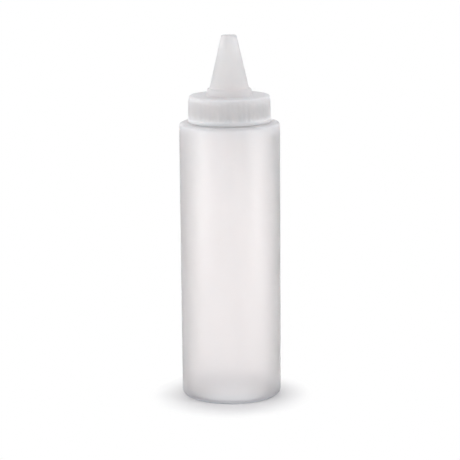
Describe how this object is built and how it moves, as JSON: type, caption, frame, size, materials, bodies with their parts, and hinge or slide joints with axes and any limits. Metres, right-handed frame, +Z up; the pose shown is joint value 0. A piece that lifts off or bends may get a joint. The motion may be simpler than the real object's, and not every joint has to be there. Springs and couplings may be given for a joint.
{
  "type": "condiment squeeze bottle",
  "caption": "Soft round squeeze bottle for sauces, with a screw-on cap whose tapered spout has an open tip, and a sealing washer inside the cap.",
  "frame": {"origin": "centre of the ring that the bottle stands on, at floor level, on the axis that every piece is turned about", "axes": "+Z up along the bottle's axis to the tip of the spout; +X to the right and -Y towards the camera in the picture"},
  "size_m": [0.0508, 0.0508, 0.1845],
  "materials": {
    "soft_plastic": "milky translucent, soft sheen",
    "sealing_foam": "white closed-cell foam, matte",
    "firm_plastic": "milky translucent, satin"
  },
  "bodies": {
    "bottle": {"bottle": "soft_plastic"},
    "washer": {"seal_washer": "sealing_foam"},
    "cap": {"spout_cap": "firm_plastic"}
  },
  "joints": [
    {"name": "cap_rise", "type": "slide", "parent": "bottle", "child": "washer", "axis": [0, 0, 1], "range_m": [0, 0.0127]},
    {"name": "cap_turn", "type": "hinge", "parent": "washer", "child": "cap", "pos_m": [0, 0, 0.1417], "axis": [0, 0, 1], "range_deg": [0, 1080]}
  ],
  "couplings": [
    {"joint": "cap_rise", "follows": "cap_turn", "m_per_rad": 0.00067322}
  ]
}
